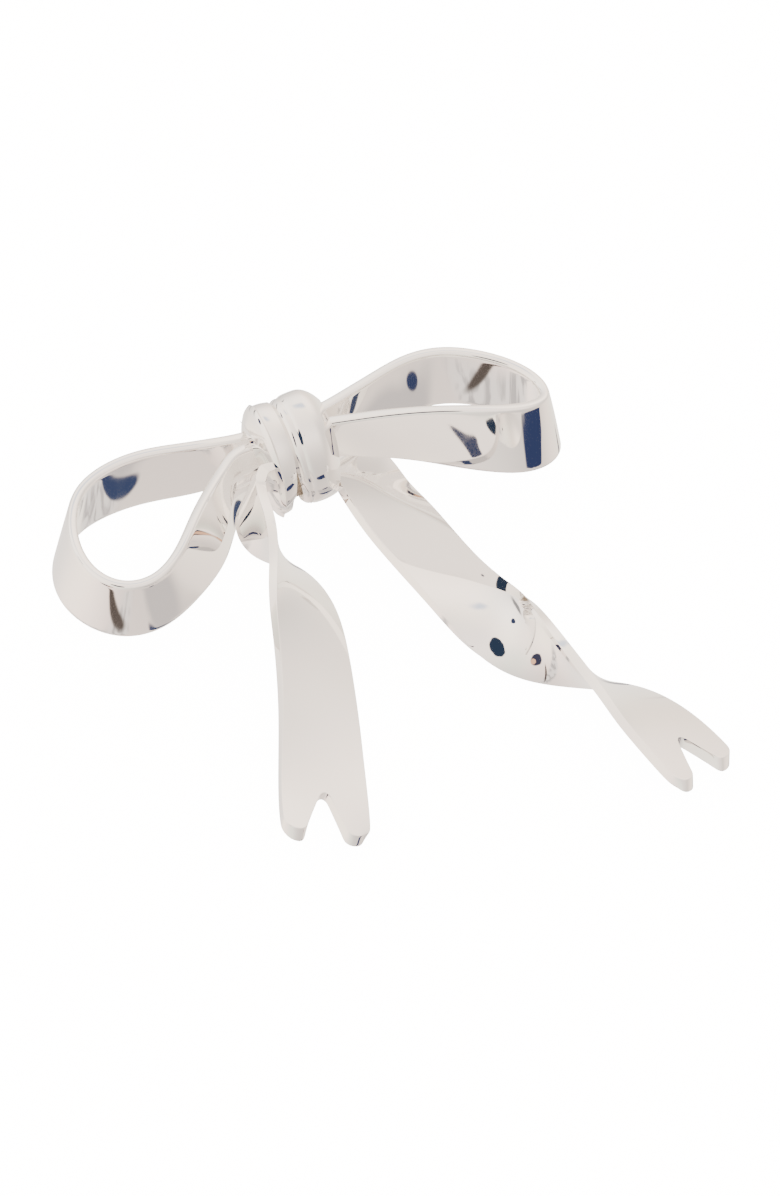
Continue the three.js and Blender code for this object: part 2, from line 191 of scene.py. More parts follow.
def catmull_rom(rows, closed):
    """Dense points on one smooth curve through every row."""
    rows = np.array(rows, float)
    if closed:
        padded = np.vstack([rows[-1:], rows, rows[:2]])
    else:
        padded = np.vstack([2 * rows[:1] - rows[1:2], rows, 2 * rows[-1:] - rows[-2:-1]])
    t = (np.arange(SAMPLES_PER_SPAN) / SAMPLES_PER_SPAN)[:, None]
    out = []
    for i in range(1, len(padded) - 2):
        p0, p1, p2, p3 = padded[i - 1:i + 3]
        m1, m2 = (p2 - p0) / 2, (p3 - p1) / 2
        out.append(
            (2 * t**3 - 3 * t**2 + 1) * p1 + (t**3 - 2 * t**2 + t) * m1
            + (3 * t**2 - 2 * t**3) * p2 + (t**3 - t**2) * m2
        )
    if not closed:
        out.append(rows[-1:])
    return np.vstack(out)


def smoothed(values, sigma):
    """Weighted running mean that keeps both ends where they are."""
    reach = int(4 * sigma)
    kernel = np.exp(-0.5 * (np.arange(-reach, reach + 1) / sigma) ** 2)
    kernel /= kernel.sum()
    front = 2 * values[:1] - values[reach:0:-1]
    back = 2 * values[-1:] - values[-2:-reach - 2:-1]
    padded = np.vstack([front, values, back])
    return np.column_stack([np.convolve(column, kernel, "valid") for column in padded.T])


def route_table(stations):
    """Arc length, centre, direction along, direction across and width at many points of a route."""
    raw = catmull_rom(stations, closed=False)
    sigma = SMOOTHING * SAMPLES_PER_SPAN
    rows = smoothed(2 * raw - smoothed(raw, sigma), sigma)
    centre, roll, width = rows[:, :3], np.radians(rows[:, 3]), rows[:, 4]
    along = np.gradient(centre, axis=0)
    step = np.linalg.norm(np.diff(centre, axis=0), axis=1)
    length = np.concatenate([[0], np.cumsum(step)])
    along /= np.linalg.norm(along, axis=1)[:, None]
    side = np.cross(along, [0, 0, 1])
    side /= np.linalg.norm(side, axis=1)[:, None]
    up = np.cross(side, along)
    across = np.cos(roll)[:, None] * side + np.sin(roll)[:, None] * up
    return length, centre, along, across, width


def at_length(length, values, s):
    """Values along a route, read at arc lengths s and carried straight on past either end."""
    if values.ndim == 1:
        return np.interp(s, length, values)
    return np.column_stack([np.interp(s, length, column) for column in values.T])


def lay_on_route(piece, table):
    """Bends a flat blank (x across, y along, z through the metal) onto its route."""
    length, centre, along, across, width = table
    count = len(piece.data.vertices)
    flat = np.empty(count * 3)
    piece.data.vertices.foreach_get("co", flat)
    x, y, z = (flat.reshape(-1, 3) / MM).T
    c = at_length(length, centre, y)
    t = at_length(length, along, y)
    a = at_length(length, across, y)
    t /= np.linalg.norm(t, axis=1)[:, None]
    a /= np.linalg.norm(a, axis=1)[:, None]
    face = np.cross(a, t)
    beyond = np.where(y > length[-1], y - length[-1], 0.0)
    scale = at_length(length, width, y) / (2 * STRIP_HALF)
    place = c + a * (x * scale)[:, None] + face * z[:, None] + t * beyond[:, None]
    place[:, 0] += KNOT_AT[0]
    place[:, 1] += KNOT_AT[1]
    piece.data.vertices.foreach_set("co", (place * MM).ravel())
    piece.data.update()


# ---- modelling helpers ----
def select_only(piece):
    bpy.ops.object.select_all(action="DESELECT")
    piece.select_set(True)
    bpy.context.view_layer.objects.active = piece


def edit(piece, mode):
    """Opens a piece in edit mode with nothing selected."""
    select_only(piece)
    bpy.ops.object.mode_set(mode="EDIT")
    bpy.ops.mesh.select_mode(type=mode)
    bpy.ops.mesh.select_all(action="DESELECT")


def done():
    bpy.ops.object.mode_set(mode="OBJECT")


def apply_modifier(piece, name, kind, **values):
    select_only(piece)
    modifier = piece.modifiers.new(name, kind)
    for key, value in values.items():
        setattr(modifier, key, value)
    bpy.ops.object.modifier_apply(modifier=modifier.name)


MERGE_DISTANCE = 0.004  # mm


def tidy_mesh(piece):
    edit(piece, "VERT")
    bpy.ops.mesh.select_all(action="SELECT")
    bpy.ops.mesh.remove_doubles(threshold=MERGE_DISTANCE * MM)
    bpy.ops.mesh.normals_make_consistent(inside=False)
    done()


def grid(name, columns, rows):
    """A flat grid, one millimetre square, with cells counted across and along."""
    bpy.ops.object.select_all(action="DESELECT")
    bpy.ops.mesh.primitive_grid_add(x_subdivisions=columns, y_subdivisions=rows, size=MM)
    piece = bpy.context.active_object
    piece.name = name
    piece.data.name = name
    return piece


def finish_piece(piece, material, body, nodes):
    piece.data.materials.clear()
    piece.data.materials.append(material)
    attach(piece, body)
    if nodes:
        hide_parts(*nodes)


def rounded_path(points, radii, step):
    """A polyline with its inner corners rounded off, as dense points."""
    out = [np.array(points[0], float)]
    for before, here, after, radius in zip(points, points[1:], points[2:], radii):
        before, here, after = (np.array(p, float) for p in (before, here, after))
        a = (before - here) / np.linalg.norm(before - here)
        b = (after - here) / np.linalg.norm(after - here)
        turn = math.acos(max(-1.0, min(1.0, float(a @ b))))
        reach = radius / math.tan(turn / 2)
        start, end = here + a * reach, here + b * reach
        hub = here + (a + b) / np.linalg.norm(a + b) * radius / math.sin(turn / 2)
        pieces = max(2, int(radius * (math.pi - turn) / step))
        for k in range(pieces + 1):
            p = start + (end - start) * k / pieces - hub
            out.append(hub + p / np.linalg.norm(p) * radius)
    out.append(np.array(points[-1], float))
    return np.array(out)


def evenly(path, count):
    """The path read at evenly spaced lengths."""
    run = np.concatenate([[0], np.cumsum(np.linalg.norm(np.diff(path, axis=0), axis=1))])
    s = np.linspace(0, run[-1], count)
    return np.column_stack([np.interp(s, run, column) for column in path.T])


def swallow_tail(count, length):
    """Where each column of a blank ends: round one lobe, up the notch and round the other."""
    s = settings()
    mouth = s.notch_mouth
    half = evenly(
        rounded_path(
            [(STRIP_HALF, length - 2.2), (STRIP_HALF, length), (mouth, length),
             (0.45, length - s.notch_depth + 0.2), (0, length - s.notch_depth)],
            [1.0, 0.95, 0.5], 0.1,
        ),
        count // 2 + 1,
    )
    mirror = half[:-1] * [-1, 1]
    return np.vstack([mirror, half[::-1]])


def lay_ribbon(name, node, stations, material, columns, slant=None, wall=0.0):
    """One strip of the bow: a flat blank is cut, thickened, edged and bent onto its route."""
    s = settings()
    table = route_table(stations)
    length = table[0][-1]
    rows = int(round(length / 0.75))
    piece = grid(name, columns, rows)
    count = len(piece.data.vertices)
    flat = np.empty(count * 3)
    piece.data.vertices.foreach_get("co", flat)
    flat = flat.reshape(-1, 3) / MM
    column = np.rint((flat[:, 0] + 0.5) * columns).astype(int)
    share = flat[:, 1] + 0.5
    x = (flat[:, 0] * 2) * STRIP_HALF
    y = share * length
    if slant is not None:
        ends = swallow_tail(columns, length)
        reach = 9.0
        t = np.clip((y - (length - reach)) / reach, 0, 1)
        ease = t**1.5
        x = x + (ends[column, 0] - x) * ease
        y = np.where(t > 0, (length - reach) + t * (ends[column, 1] - (length - reach)), y)
    flat[:, 0], flat[:, 1], flat[:, 2] = x, y, -s.thickness / 2
    piece.data.vertices.foreach_set("co", (flat * MM).ravel())
    piece.data.update()
    edit(piece, "FACE")
    bpy.ops.mesh.select_all(action="SELECT")
    bpy.ops.mesh.extrude_region_move(TRANSFORM_OT_translate={"value": (0, 0, s.thickness * MM)})
    bpy.ops.mesh.select_all(action="SELECT")
    bpy.ops.mesh.normals_make_consistent(inside=False)
    bpy.ops.mesh.select_mode(type="EDGE")
    bpy.ops.mesh.select_all(action="DESELECT")
    bpy.ops.mesh.edges_select_sharp(sharpness=math.radians(80))
    bpy.ops.mesh.bevel(offset=s.rounding * MM, segments=3, profile=0.5, clamp_overlap=True)
    done()
    # swell the faces and lean the cut end
    count = len(piece.data.vertices)
    flat = np.empty(count * 3)
    piece.data.vertices.foreach_get("co", flat)
    flat = flat.reshape(-1, 3) / MM
    swell = s.crown * (1 - np.clip(np.abs(flat[:, 0]) / STRIP_HALF, 0, 1) ** 2)
    z = flat[:, 2] * (1 + swell / (s.thickness / 2))
    if slant is not None:
        near_end = np.clip((flat[:, 1] - (length - 9.0)) / 9.0, 0, 1) ** 1.5
        flat[:, 1] += near_end * (slant * flat[:, 0] + wall * z)
    flat[:, 2] = z
    piece.data.vertices.foreach_set("co", (flat * MM).ravel())
    piece.data.update()
    lay_on_route(piece, table)
    apply_modifier(piece, "Smooth", "SUBSURF", levels=1, render_levels=1)
    tidy_mesh(piece)
    select_only(piece)
    bpy.ops.object.shade_smooth()
    finish_piece(piece, material, "bow", (node,))
    return piece


# ---- knot ----
PLEAT_METAL = 0.84  # thickness of the pleated strip, mm
PLEAT_RIM = 0.3  # rounding of its rims, mm
HEM_HEIGHT = 0.14  # how far the rolled hem stands up, mm
TURN_DEPTH = 0.32  # how far the strip drops where it turns under, mm


def wrap_pleat(name, node, top, bottom, droop, crown, tuck, hem, crease, material):
    """One pleat: a strip wrapped round the bundle, crowned across, its edges drawn together below."""
    rows, columns = 132, 26
    piece = grid(name, columns, rows)
    outline = catmull_rom(KNOT_OUTLINE, closed=True)
    tangent = np.roll(outline, -1, axis=0) - np.roll(outline, 1, axis=0)
    tangent /= np.linalg.norm(tangent, axis=1)[:, None]
    outward = np.column_stack([tangent[:, 1], -tangent[:, 0]])
    total = len(outline)
    count = len(piece.data.vertices)
    flat = np.empty(count * 3)
    piece.data.vertices.foreach_get("co", flat)
    flat = flat.reshape(-1, 3) / MM
    v = flat[:, 0] * 2
    place = (flat[:, 1] + 0.5) * total
    i = np.floor(place).astype(int)
    t = (place - i)[:, None]
    here = outline[i % total] * (1 - t) + outline[(i + 1) % total] * t
    out = outward[i % total] * (1 - t) + outward[(i + 1) % total] * t
    rise = np.clip((here[:, 1] + 4.5) / 7.5, 0, 1)
    rise = rise * rise * (3 - 2 * rise)
    left = bottom[0] + (top[0] - bottom[0]) * rise
    right = bottom[1] + (top[1] - bottom[1]) * rise
    sag = droop * np.clip((v - 0.15) / 0.85, 0, 1) ** 2 * rise
    flank = np.clip((-0.35 - v) / 0.65, 0, 1) ** 2
    depth = crown * (1 - v * v) - sag - 0.42 - tuck * flank
    # a rolled hem along the left, and a fold where the strip turns under
    rolled = np.exp(-(((v - hem) / 0.09) ** 2)) - 0.8 * np.exp(-(((v - hem - 0.2) / 0.08) ** 2))
    depth += HEM_HEIGHT * rolled
    turned = place - (crease - 7 * v)
    depth -= TURN_DEPTH * np.clip(turned / 4, 0, 1) * np.clip(1 - turned / 60, 0, 1)
    x = (left + right) / 2 + v * (right - left) / 2 - 0.18 * tuck * flank
    flat[:, 0] = x + KNOT_AT[0]
    flat[:, 1] = here[:, 0] + out[:, 0] * depth + KNOT_AT[1]
    flat[:, 2] = here[:, 1] + out[:, 1] * depth + KNOT_Z
    piece.data.vertices.foreach_set("co", (flat * MM).ravel())
    piece.data.update()
    tidy_mesh(piece)
    apply_modifier(
        piece, "Metal", "SOLIDIFY", thickness=PLEAT_METAL * MM, offset=0.0, use_even_offset=True,
    )
    apply_modifier(
        piece, "Polished edges", "BEVEL", width=PLEAT_RIM * MM, segments=3, profile=0.5,
        limit_method="ANGLE", angle_limit=math.radians(50), use_clamp_overlap=True,
    )
    # no merge after the bevel: it would open the thin faces of the rims
    apply_modifier(piece, "Smooth", "SUBSURF", levels=1, render_levels=1)
    select_only(piece)
    bpy.ops.object.shade_smooth()
    finish_piece(piece, material, "bow", (node,))
    return piece


# ---- fittings on the back ----
PIN_LINE = (0.0, 0.875, 2.1)  # middle of the hinge rivet, mm
KNUCKLE_RADIUS = 1.35
RIVET_HOLE = 0.5
# Posts from the bar up to the ribbons: x and y from the knot's axis, top, foot radius.
SOLDER_POSTS = (
    (-7.4, 2.35, 7.2, 0.95),
    (13.0, 2.6, 7.2, 0.95),
    (0.8, 2.4, 7.5, 1.0),
)
# Pillows of solder: centre, size, rounding.
SOLDER_PADS = (
    ((15.1, -0.75, 5.1), (3.4, 1.3, 0.7), 0.28),
    ((0.0, 0.875, 4.35), (3.0, 2.1, 0.5), 0.12),
    ((22.5, 0.875, 4.38), (3.0, 2.1, 0.5), 0.12),
)


def refined_copy(name, node, body, material, rounding, turn=40):
    """A CAD fitting with its edges broken, as a caster leaves them."""
    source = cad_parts[node]
    piece = bpy.data.objects.new(name, source.data.copy())
    piece.data.name = name
    bpy.context.scene.collection.objects.link(piece)
    edit(piece, "VERT")
    bpy.ops.mesh.select_all(action="SELECT")
    bpy.ops.mesh.remove_doubles(threshold=0.003 * MM)
    bpy.ops.mesh.dissolve_limited(angle_limit=math.radians(0.5))
    bpy.ops.mesh.normals_make_consistent(inside=False)
    done()
    apply_modifier(
        piece, "Broken edges", "BEVEL", width=rounding * MM, segments=3, profile=0.5,
        limit_method="ANGLE", angle_limit=math.radians(turn), use_clamp_overlap=True,
        harden_normals=False,
    )
    select_only(piece)
    bpy.ops.object.shade_smooth_by_angle(angle=math.radians(32))
    finish_piece(piece, material, body, (node,))
    return piece


def move_into_mesh(piece, name):
    """Puts a primitive's place into its mesh, so that its object stands at the origin."""
    select_only(piece)
    bpy.ops.object.transform_apply(location=True, rotation=True, scale=True)
    piece.name = name
    piece.data.name = name
    return piece


def round_bar(name, at, along, rings, sides=32):
    """A turned bar: a disc at `at` drawn along an axis through (distance, radius) rings, in millimetres."""
    along = Vector(along)
    bpy.ops.object.select_all(action="DESELECT")
    bpy.ops.mesh.primitive_circle_add(
        vertices=sides, radius=rings[0][1] * MM, fill_type="NGON", location=Vector(at) * MM,
        rotation=along.to_track_quat("Z", "Y").to_euler(),
    )
    bar = move_into_mesh(bpy.context.active_object, name)
    edit(bar, "FACE")
    bpy.ops.mesh.select_all(action="SELECT")
    reached, radius = rings[0]
    for distance, next_radius in rings[1:]:
        step = along * (distance - reached) * MM
        bpy.ops.mesh.extrude_region_move(TRANSFORM_OT_translate={"value": step})
        centre = (Vector(at) + along * (distance - rings[0][0])) * MM
        bpy.ops.transform.resize(value=(next_radius / radius,) * 3, center_override=centre)
        reached, radius = distance, next_radius
    bpy.ops.mesh.select_all(action="SELECT")
    bpy.ops.mesh.normals_make_consistent(inside=False)
    done()
    return bar


def join_pieces(pieces):
    bpy.ops.object.select_all(action="DESELECT")
    for piece in pieces:
        piece.select_set(True)
    bpy.context.view_layer.objects.active = pieces[0]
    bpy.ops.object.join()
    return pieces[0]


def pad(centre, size, rounding):
    """A small pillow of solder between a fitting and the bar."""
    bpy.ops.object.select_all(action="DESELECT")
    bpy.ops.mesh.primitive_cube_add(size=1.0, location=Vector(centre) * MM, scale=Vector(size) * MM)
    piece = move_into_mesh(bpy.context.active_object, "solder_pad")
    edit(piece, "EDGE")
    bpy.ops.mesh.select_all(action="SELECT")
    bpy.ops.mesh.bevel(offset=rounding * MM, segments=4, profile=0.5)
    done()
    return piece


def pin_wire(material):
    """The pin: a ground point on a straight wire, its knuckle a flat ring round the rivet."""
    bpy.ops.object.select_all(action="DESELECT")
    bpy.ops.mesh.primitive_circle_add(
        vertices=56, radius=KNUCKLE_RADIUS * MM, location=Vector(PIN_LINE) * MM,
        rotation=(math.radians(90), 0, 0),
    )
    knuckle = move_into_mesh(bpy.context.active_object, "pin_wire")
    edit(knuckle, "EDGE")
    bpy.ops.mesh.select_all(action="SELECT")
    bpy.ops.mesh.extrude_edges_move()
    bpy.ops.transform.resize(
        value=(RIVET_HOLE / KNUCKLE_RADIUS,) * 3, center_override=Vector(PIN_LINE) * MM)
    done()
    apply_modifier(knuckle, "Metal", "SOLIDIFY", thickness=0.9 * MM, offset=0.0)
    apply_modifier(
        knuckle, "Broken edges", "BEVEL", width=0.12 * MM, segments=3,
        limit_method="ANGLE", angle_limit=math.radians(50),
    )
    rings = [(0.925, 0.42), (1.6, 0.42), (10.0, 0.42), (19.8, 0.42), (21.5, 0.345), (23.1, 0.25),
             (24.2, 0.14), (24.65, 0.07), (24.8, 0.02)]
    wire = round_bar("wire", (0.925, PIN_LINE[1], PIN_LINE[2]), (1, 0, 0), rings)
    apply_modifier(knuckle, "Weld", "BOOLEAN", operation="UNION", object=wire, solver="EXACT")
    bpy.data.objects.remove(wire)
    tidy_mesh(knuckle)
    select_only(knuckle)
    bpy.ops.object.shade_smooth_by_angle(angle=math.radians(35))
    finish_piece(knuckle, material, "pin", ("pin_stem",))


def hinge_rivet(material):
    """A rivet with a domed head at either end."""
    shaft, head = 1.26, 0.3
    middle = PIN_LINE[1]
    rings = [(0.0, 0.42), (0.001, 0.68), (0.10, 0.75), (head, 0.75), (head + 0.001, 0.42)]
    far_end = 2 * (shaft + head)
    rings += [(far_end - d, r) for d, r in reversed(rings)]
    rivet = round_bar(
        "hinge_rivet_headed", (0, middle - shaft - head, PIN_LINE[2]), (0, 1, 0), rings, sides=40)
    select_only(rivet)
    bpy.ops.object.shade_smooth_by_angle(angle=math.radians(35))
    finish_piece(rivet, material, "bow", ("hinge_rivet",))


def solder_joints(material):
    """Short posts and pillows of solder that hold the bow, the bar and the fittings together."""
    posts = []
    for x, y, top, foot in SOLDER_POSTS:
        rings = [(0.0, foot), (0.15, 0.94 * foot), (0.4, 0.74 * foot), (0.8, 0.66 * foot),
                 (top - 5.7, 0.7 * foot), (top - 5.45, 0.85 * foot), (top - 5.3, foot)]
        post = round_bar("post", (x + KNOT_AT[0], y + KNOT_AT[1], 5.3), (0, 0, 1), rings, sides=28)
        posts.append(post)
    pads = [pad(centre, size, rounding) for centre, size, rounding in SOLDER_PADS]
    piece = join_pieces(posts + pads)
    piece.name = piece.data.name = "solder_joints"
    select_only(piece)
    bpy.ops.object.shade_smooth_by_angle(angle=math.radians(50))
    finish_piece(piece, material, "bow", ())


# ---- materials ----
def group(name, inputs, outputs):
    """A shader node group with named sockets; returns the tree and its input and output nodes."""
    tree = bpy.data.node_groups.new(name, "ShaderNodeTree")
    for label, kind, value in inputs:
        socket = tree.interface.new_socket(name=label, in_out="INPUT", socket_type=kind)
        if value is not None:
            socket.default_value = value
    for label, kind in outputs:
        tree.interface.new_socket(name=label, in_out="OUTPUT", socket_type=kind)
    return tree, tree.nodes.new("NodeGroupInput"), tree.nodes.new("NodeGroupOutput")


def add_node(tree, kind, **values):
    node = tree.nodes.new(kind)
    for key, value in values.items():
        if key == "inputs":
            for label, number in value.items():
                node.inputs[label].default_value = number
        else:
            setattr(node, key, value)
    return node


def maths(tree, operation, a, b=None, clamp=False):
    """A Math node fed by sockets or numbers; returns its output."""
    node = add_node(tree, "ShaderNodeMath", operation=operation, use_clamp=clamp)
    for socket, value in zip(node.inputs, (a, b)):
        if value is None:
            continue
        if isinstance(value, (int, float)):
            socket.default_value = value
        else:
            tree.links.new(value, socket)
    return node.outputs[0]


def hand_polish_group():
    """Long soft waves and hair-fine wheel lines left by polishing: a height, and a mask of smears."""
    tree, inp, out = group(
        "Hand polish",
        [("Vector", "NodeSocketVector", None), ("Wave size", "NodeSocketFloat", 240.0),
         ("Line size", "NodeSocketFloat", 9000.0), ("Line share", "NodeSocketFloat", 0.04)],
        [("Height", "NodeSocketFloat"), ("Smears", "NodeSocketFloat")],
    )
    link = tree.links.new
    wave = add_node(tree, "ShaderNodeTexNoise", inputs={"Detail": 1.0, "Roughness": 0.35})
    link(inp.outputs["Vector"], wave.inputs["Vector"])
    link(inp.outputs["Wave size"], wave.inputs["Scale"])
    stretch = add_node(tree, "ShaderNodeMapping")
    stretch.inputs["Scale"].default_value = (1.0, 0.05, 0.35)
    stretch.inputs["Rotation"].default_value = (0.3, 0.2, 0.35)
    link(inp.outputs["Vector"], stretch.inputs["Vector"])
    lines = add_node(tree, "ShaderNodeTexNoise", inputs={"Detail": 2.0, "Roughness": 0.6})
    link(stretch.outputs["Vector"], lines.inputs["Vector"])
    link(inp.outputs["Line size"], lines.inputs["Scale"])
    fine = maths(tree, "MULTIPLY", lines.outputs["Fac"], inp.outputs["Line share"])
    link(maths(tree, "ADD", wave.outputs["Fac"], fine), out.inputs["Height"])
    smear = add_node(
        tree, "ShaderNodeTexNoise", inputs={"Scale": 420.0, "Detail": 5.0, "Roughness": 0.62},
    )
    link(stretch.outputs["Vector"], smear.inputs["Vector"])
    ramp = add_node(tree, "ShaderNodeMapRange")
    ramp.interpolation_type = "SMOOTHSTEP"
    ramp.inputs["From Min"].default_value = 0.45
    ramp.inputs["From Max"].default_value = 0.75
    link(smear.outputs["Fac"], ramp.inputs["Value"])
    link(ramp.outputs["Result"], out.inputs["Smears"])
    return tree


def fold_film_and_shade_group():
    """Tarnish that polishing leaves in a fold, dull, its darkening partly painted shade: strongest near a
    named line, broken up by noise.
    """
    tree, inp, out = group(
        "Fold film",
        [("Vector", "NodeSocketVector", None), ("Centre", "NodeSocketVector", None),
         ("Reach", "NodeSocketFloat", 0.005), ("Amount", "NodeSocketFloat", 0.5)],
        [("Film and shade", "NodeSocketFloat")],
    )
    link = tree.links.new
    away = add_node(tree, "ShaderNodeVectorMath", operation="DISTANCE")
    link(inp.outputs["Vector"], away.inputs[0])
    link(inp.outputs["Centre"], away.inputs[1])
    share = maths(tree, "DIVIDE", away.outputs["Value"], inp.outputs["Reach"])
    near = maths(tree, "SUBTRACT", 1.0, share, True)
    noise = add_node(tree, "ShaderNodeTexNoise", inputs={"Scale": 1500.0, "Detail": 4.0})
    link(inp.outputs["Vector"], noise.inputs["Vector"])
    broken = maths(tree, "MULTIPLY", near, maths(tree, "ADD", noise.outputs["Fac"], 0.4))
    link(maths(tree, "MULTIPLY", broken, inp.outputs["Amount"], True), out.inputs["Film and shade"])
    return tree


DEEP_TONE = (1.5, 1.35, 1.25, 1.0)


def shared_group(maker, name):
    return bpy.data.node_groups.get(name) or maker()


def silver_material(name, roughness, spread, wave_height, line_share, film_and_shade, centre, reach, tint=None):
    """Polished silver: wavy mirror, faint smears, and a warm dull tarnish where folds can't be reached, its
    darker colour partly painted shade.
    """
    material = bpy.data.materials.new(name)
    material.use_nodes = True
    tree = material.node_tree
    link = tree.links.new
    shader = tree.nodes["Principled BSDF"]
    shader.inputs["Metallic"].default_value = 1.0
    coords = add_node(tree, "ShaderNodeTexCoord").outputs["Object"]
    polish = add_node(tree, "ShaderNodeGroup")
    polish.node_tree = shared_group(hand_polish_group, "Hand polish")
    polish.inputs["Line share"].default_value = line_share
    link(coords, polish.inputs["Vector"])
    folds = add_node(tree, "ShaderNodeGroup")
    folds.node_tree = shared_group(fold_film_and_shade_group, "Fold film")
    folds.inputs["Centre"].default_value = centre
    folds.inputs["Reach"].default_value = reach
    folds.inputs["Amount"].default_value = film_and_shade
    link(coords, folds.inputs["Vector"])
    # the folds turn to the tarnish colour: real tarnish, and painted shade where they lie in shadow
    mix = add_node(tree, "ShaderNodeMix", data_type="RGBA")
    mix.inputs["A"].default_value = (*(tint or settings().silver), 1.0)
    mix.inputs["B"].default_value = (*settings().tarnish_and_shade, 1.0)
    link(folds.outputs["Film and shade"], mix.inputs["Factor"])
    link(mix.outputs["Result"], shader.inputs["Base Color"])
    smear = maths(tree, "MULTIPLY", polish.outputs["Smears"], spread)
    dull = maths(tree, "MULTIPLY", folds.outputs["Film and shade"], 0.35)
    rough = maths(tree, "ADD", maths(tree, "ADD", smear, roughness), dull)
    link(rough, shader.inputs["Roughness"])
    bump = add_node(tree, "ShaderNodeBump")
    bump.inputs["Strength"].default_value = 1.0
    bump.inputs["Distance"].default_value = wave_height * MM
    link(polish.outputs["Height"], bump.inputs["Height"])
    link(bump.outputs["Normal"], shader.inputs["Normal"])
    # light lost after many mirrorings between the ribbons comes back as the tent's mean tone
    bounce = add_node(tree, "ShaderNodeLightPath").outputs["Glossy Depth"]
    deep = add_node(tree, "ShaderNodeMix", data_type="RGBA")
    deep.inputs["A"].default_value = (0.0, 0.0, 0.0, 1.0)
    deep.inputs["B"].default_value = DEEP_TONE
    link(maths(tree, "GREATER_THAN", bounce, 3.5), deep.inputs["Factor"])
    link(deep.outputs["Result"], shader.inputs["Emission Color"])
    shader.inputs["Emission Strength"].default_value = 1.0
    return material


def knot_point(x, y, z):
    return ((x + KNOT_AT[0]) * MM, (y + KNOT_AT[1]) * MM, z * MM)


# ---- operators ----
class BROOCH_OT_ribbons(bpy.types.Operator):
    """Cut, edge and bend the two loops and the two tails"""

    bl_idname = "brooch.ribbons"
    bl_label = "Ribbons"

    def execute(self, context):
        # the ribbons darken towards the knot: tarnish, and painted shade where they pass under it
        fold = knot_point(0, 0, 10)
        silver = silver_material("Polished silver", 0.035, 0.02, 0.004, 0.01, 0.25, fold, 0.0055)
        lay_ribbon("left_loop_ribbon", "left_loop", LEFT_LOOP, silver, 12)
        lay_ribbon("right_loop_ribbon", "right_loop", RIGHT_LOOP, silver, 12)
        lay_ribbon("left_tail_ribbon", "left_tail", LEFT_TAIL, silver, 32, slant=-0.14, wall=-0.5)
        lay_ribbon("right_tail_ribbon", "right_tail", RIGHT_TAIL, silver, 32, slant=-0.19, wall=0.6)
        return {"FINISHED"}


class BROOCH_OT_knot(bpy.types.Operator):
    """Wrap the knot's two pleats and darken the core between them with tarnish and painted shade"""

    bl_idname = "brooch.knot"
    bl_label = "Knot"

    def execute(self, context):
        # the pleats darken towards the groove below the knot: tarnish, and painted shade in the recess
        groove = knot_point(-0.8, -3.5, 8.0)
        silver = silver_material("Knot silver", 0.04, 0.03, 0.004, 0.01, 0.3, groove, 0.004)
        wrap_pleat(
            "narrow_pleat", "knot_narrow_pleat", top=(-3.8, -1.05), bottom=(-3.6, -1.95),
            droop=0.0, crown=0.18, tuck=1.9, hem=-0.42, crease=98, material=silver,
        )
        wrap_pleat(
            "wide_pleat", "knot_wide_pleat", top=(-0.6, 4.4), bottom=(0.0, 3.6),
            droop=1.5, crown=0.26, tuck=0.45, hem=-0.80, crease=103, material=silver,
        )
        # the core between the pleats is painted darker, as shade cast by the pleats, and coated with tarnish
        core = silver_material(
            "Knot core", roughness=0.28, spread=0.2, wave_height=0.03, line_share=0.3,
            film_and_shade=0.8, centre=groove, reach=0.012, tint=(0.52, 0.46, 0.39),
        )
        assign(core, "knot_core")
        return {"FINISHED"}


def assign(material, *nodes):
    for node in nodes:
        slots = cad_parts[node].material_slots
        if not slots:
            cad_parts[node].data.materials.append(material)
        for slot in slots:
            slot.material = material


class BROOCH_OT_fittings(bpy.types.Operator):
    """Break the edges of the back bar, the hinge, the pin and the catch"""

    bl_idname = "brooch.fittings"
    bl_label = "Pin and catch"

    def execute(self, context):
        far = knot_point(0, 0, 40)
        cast = silver_material(
            "Fitting silver", roughness=0.13, spread=0.12, wave_height=0.02, line_share=0.2,
            film_and_shade=0.0, centre=far, reach=0.001, tint=(0.82, 0.81, 0.79),
        )
        wire = silver_material(
            "Pin steel", roughness=0.16, spread=0.10, wave_height=0.006, line_share=0.3,
            film_and_shade=0.0, centre=far, reach=0.001, tint=(0.72, 0.73, 0.745),
        )
        refined_copy("back_bar_cast", "back_bar", "bow", cast, 0.25)
        refined_copy("hinge_block_cast", "hinge_block", "bow", cast, 0.12)
        hinge_rivet(wire)
        pin_wire(wire)
        solder_joints(cast)
        refined_copy("catch_cheeks", "catch_body", "bow", cast, 0.12)
        refined_copy("catch_roller", "catch_sleeve", "sleeve", cast, 0.10)
        return {"FINISHED"}


# ---- stage ----
PANEL_FOCUS = 9.0  # how quickly one panel of the tent gives way to the next
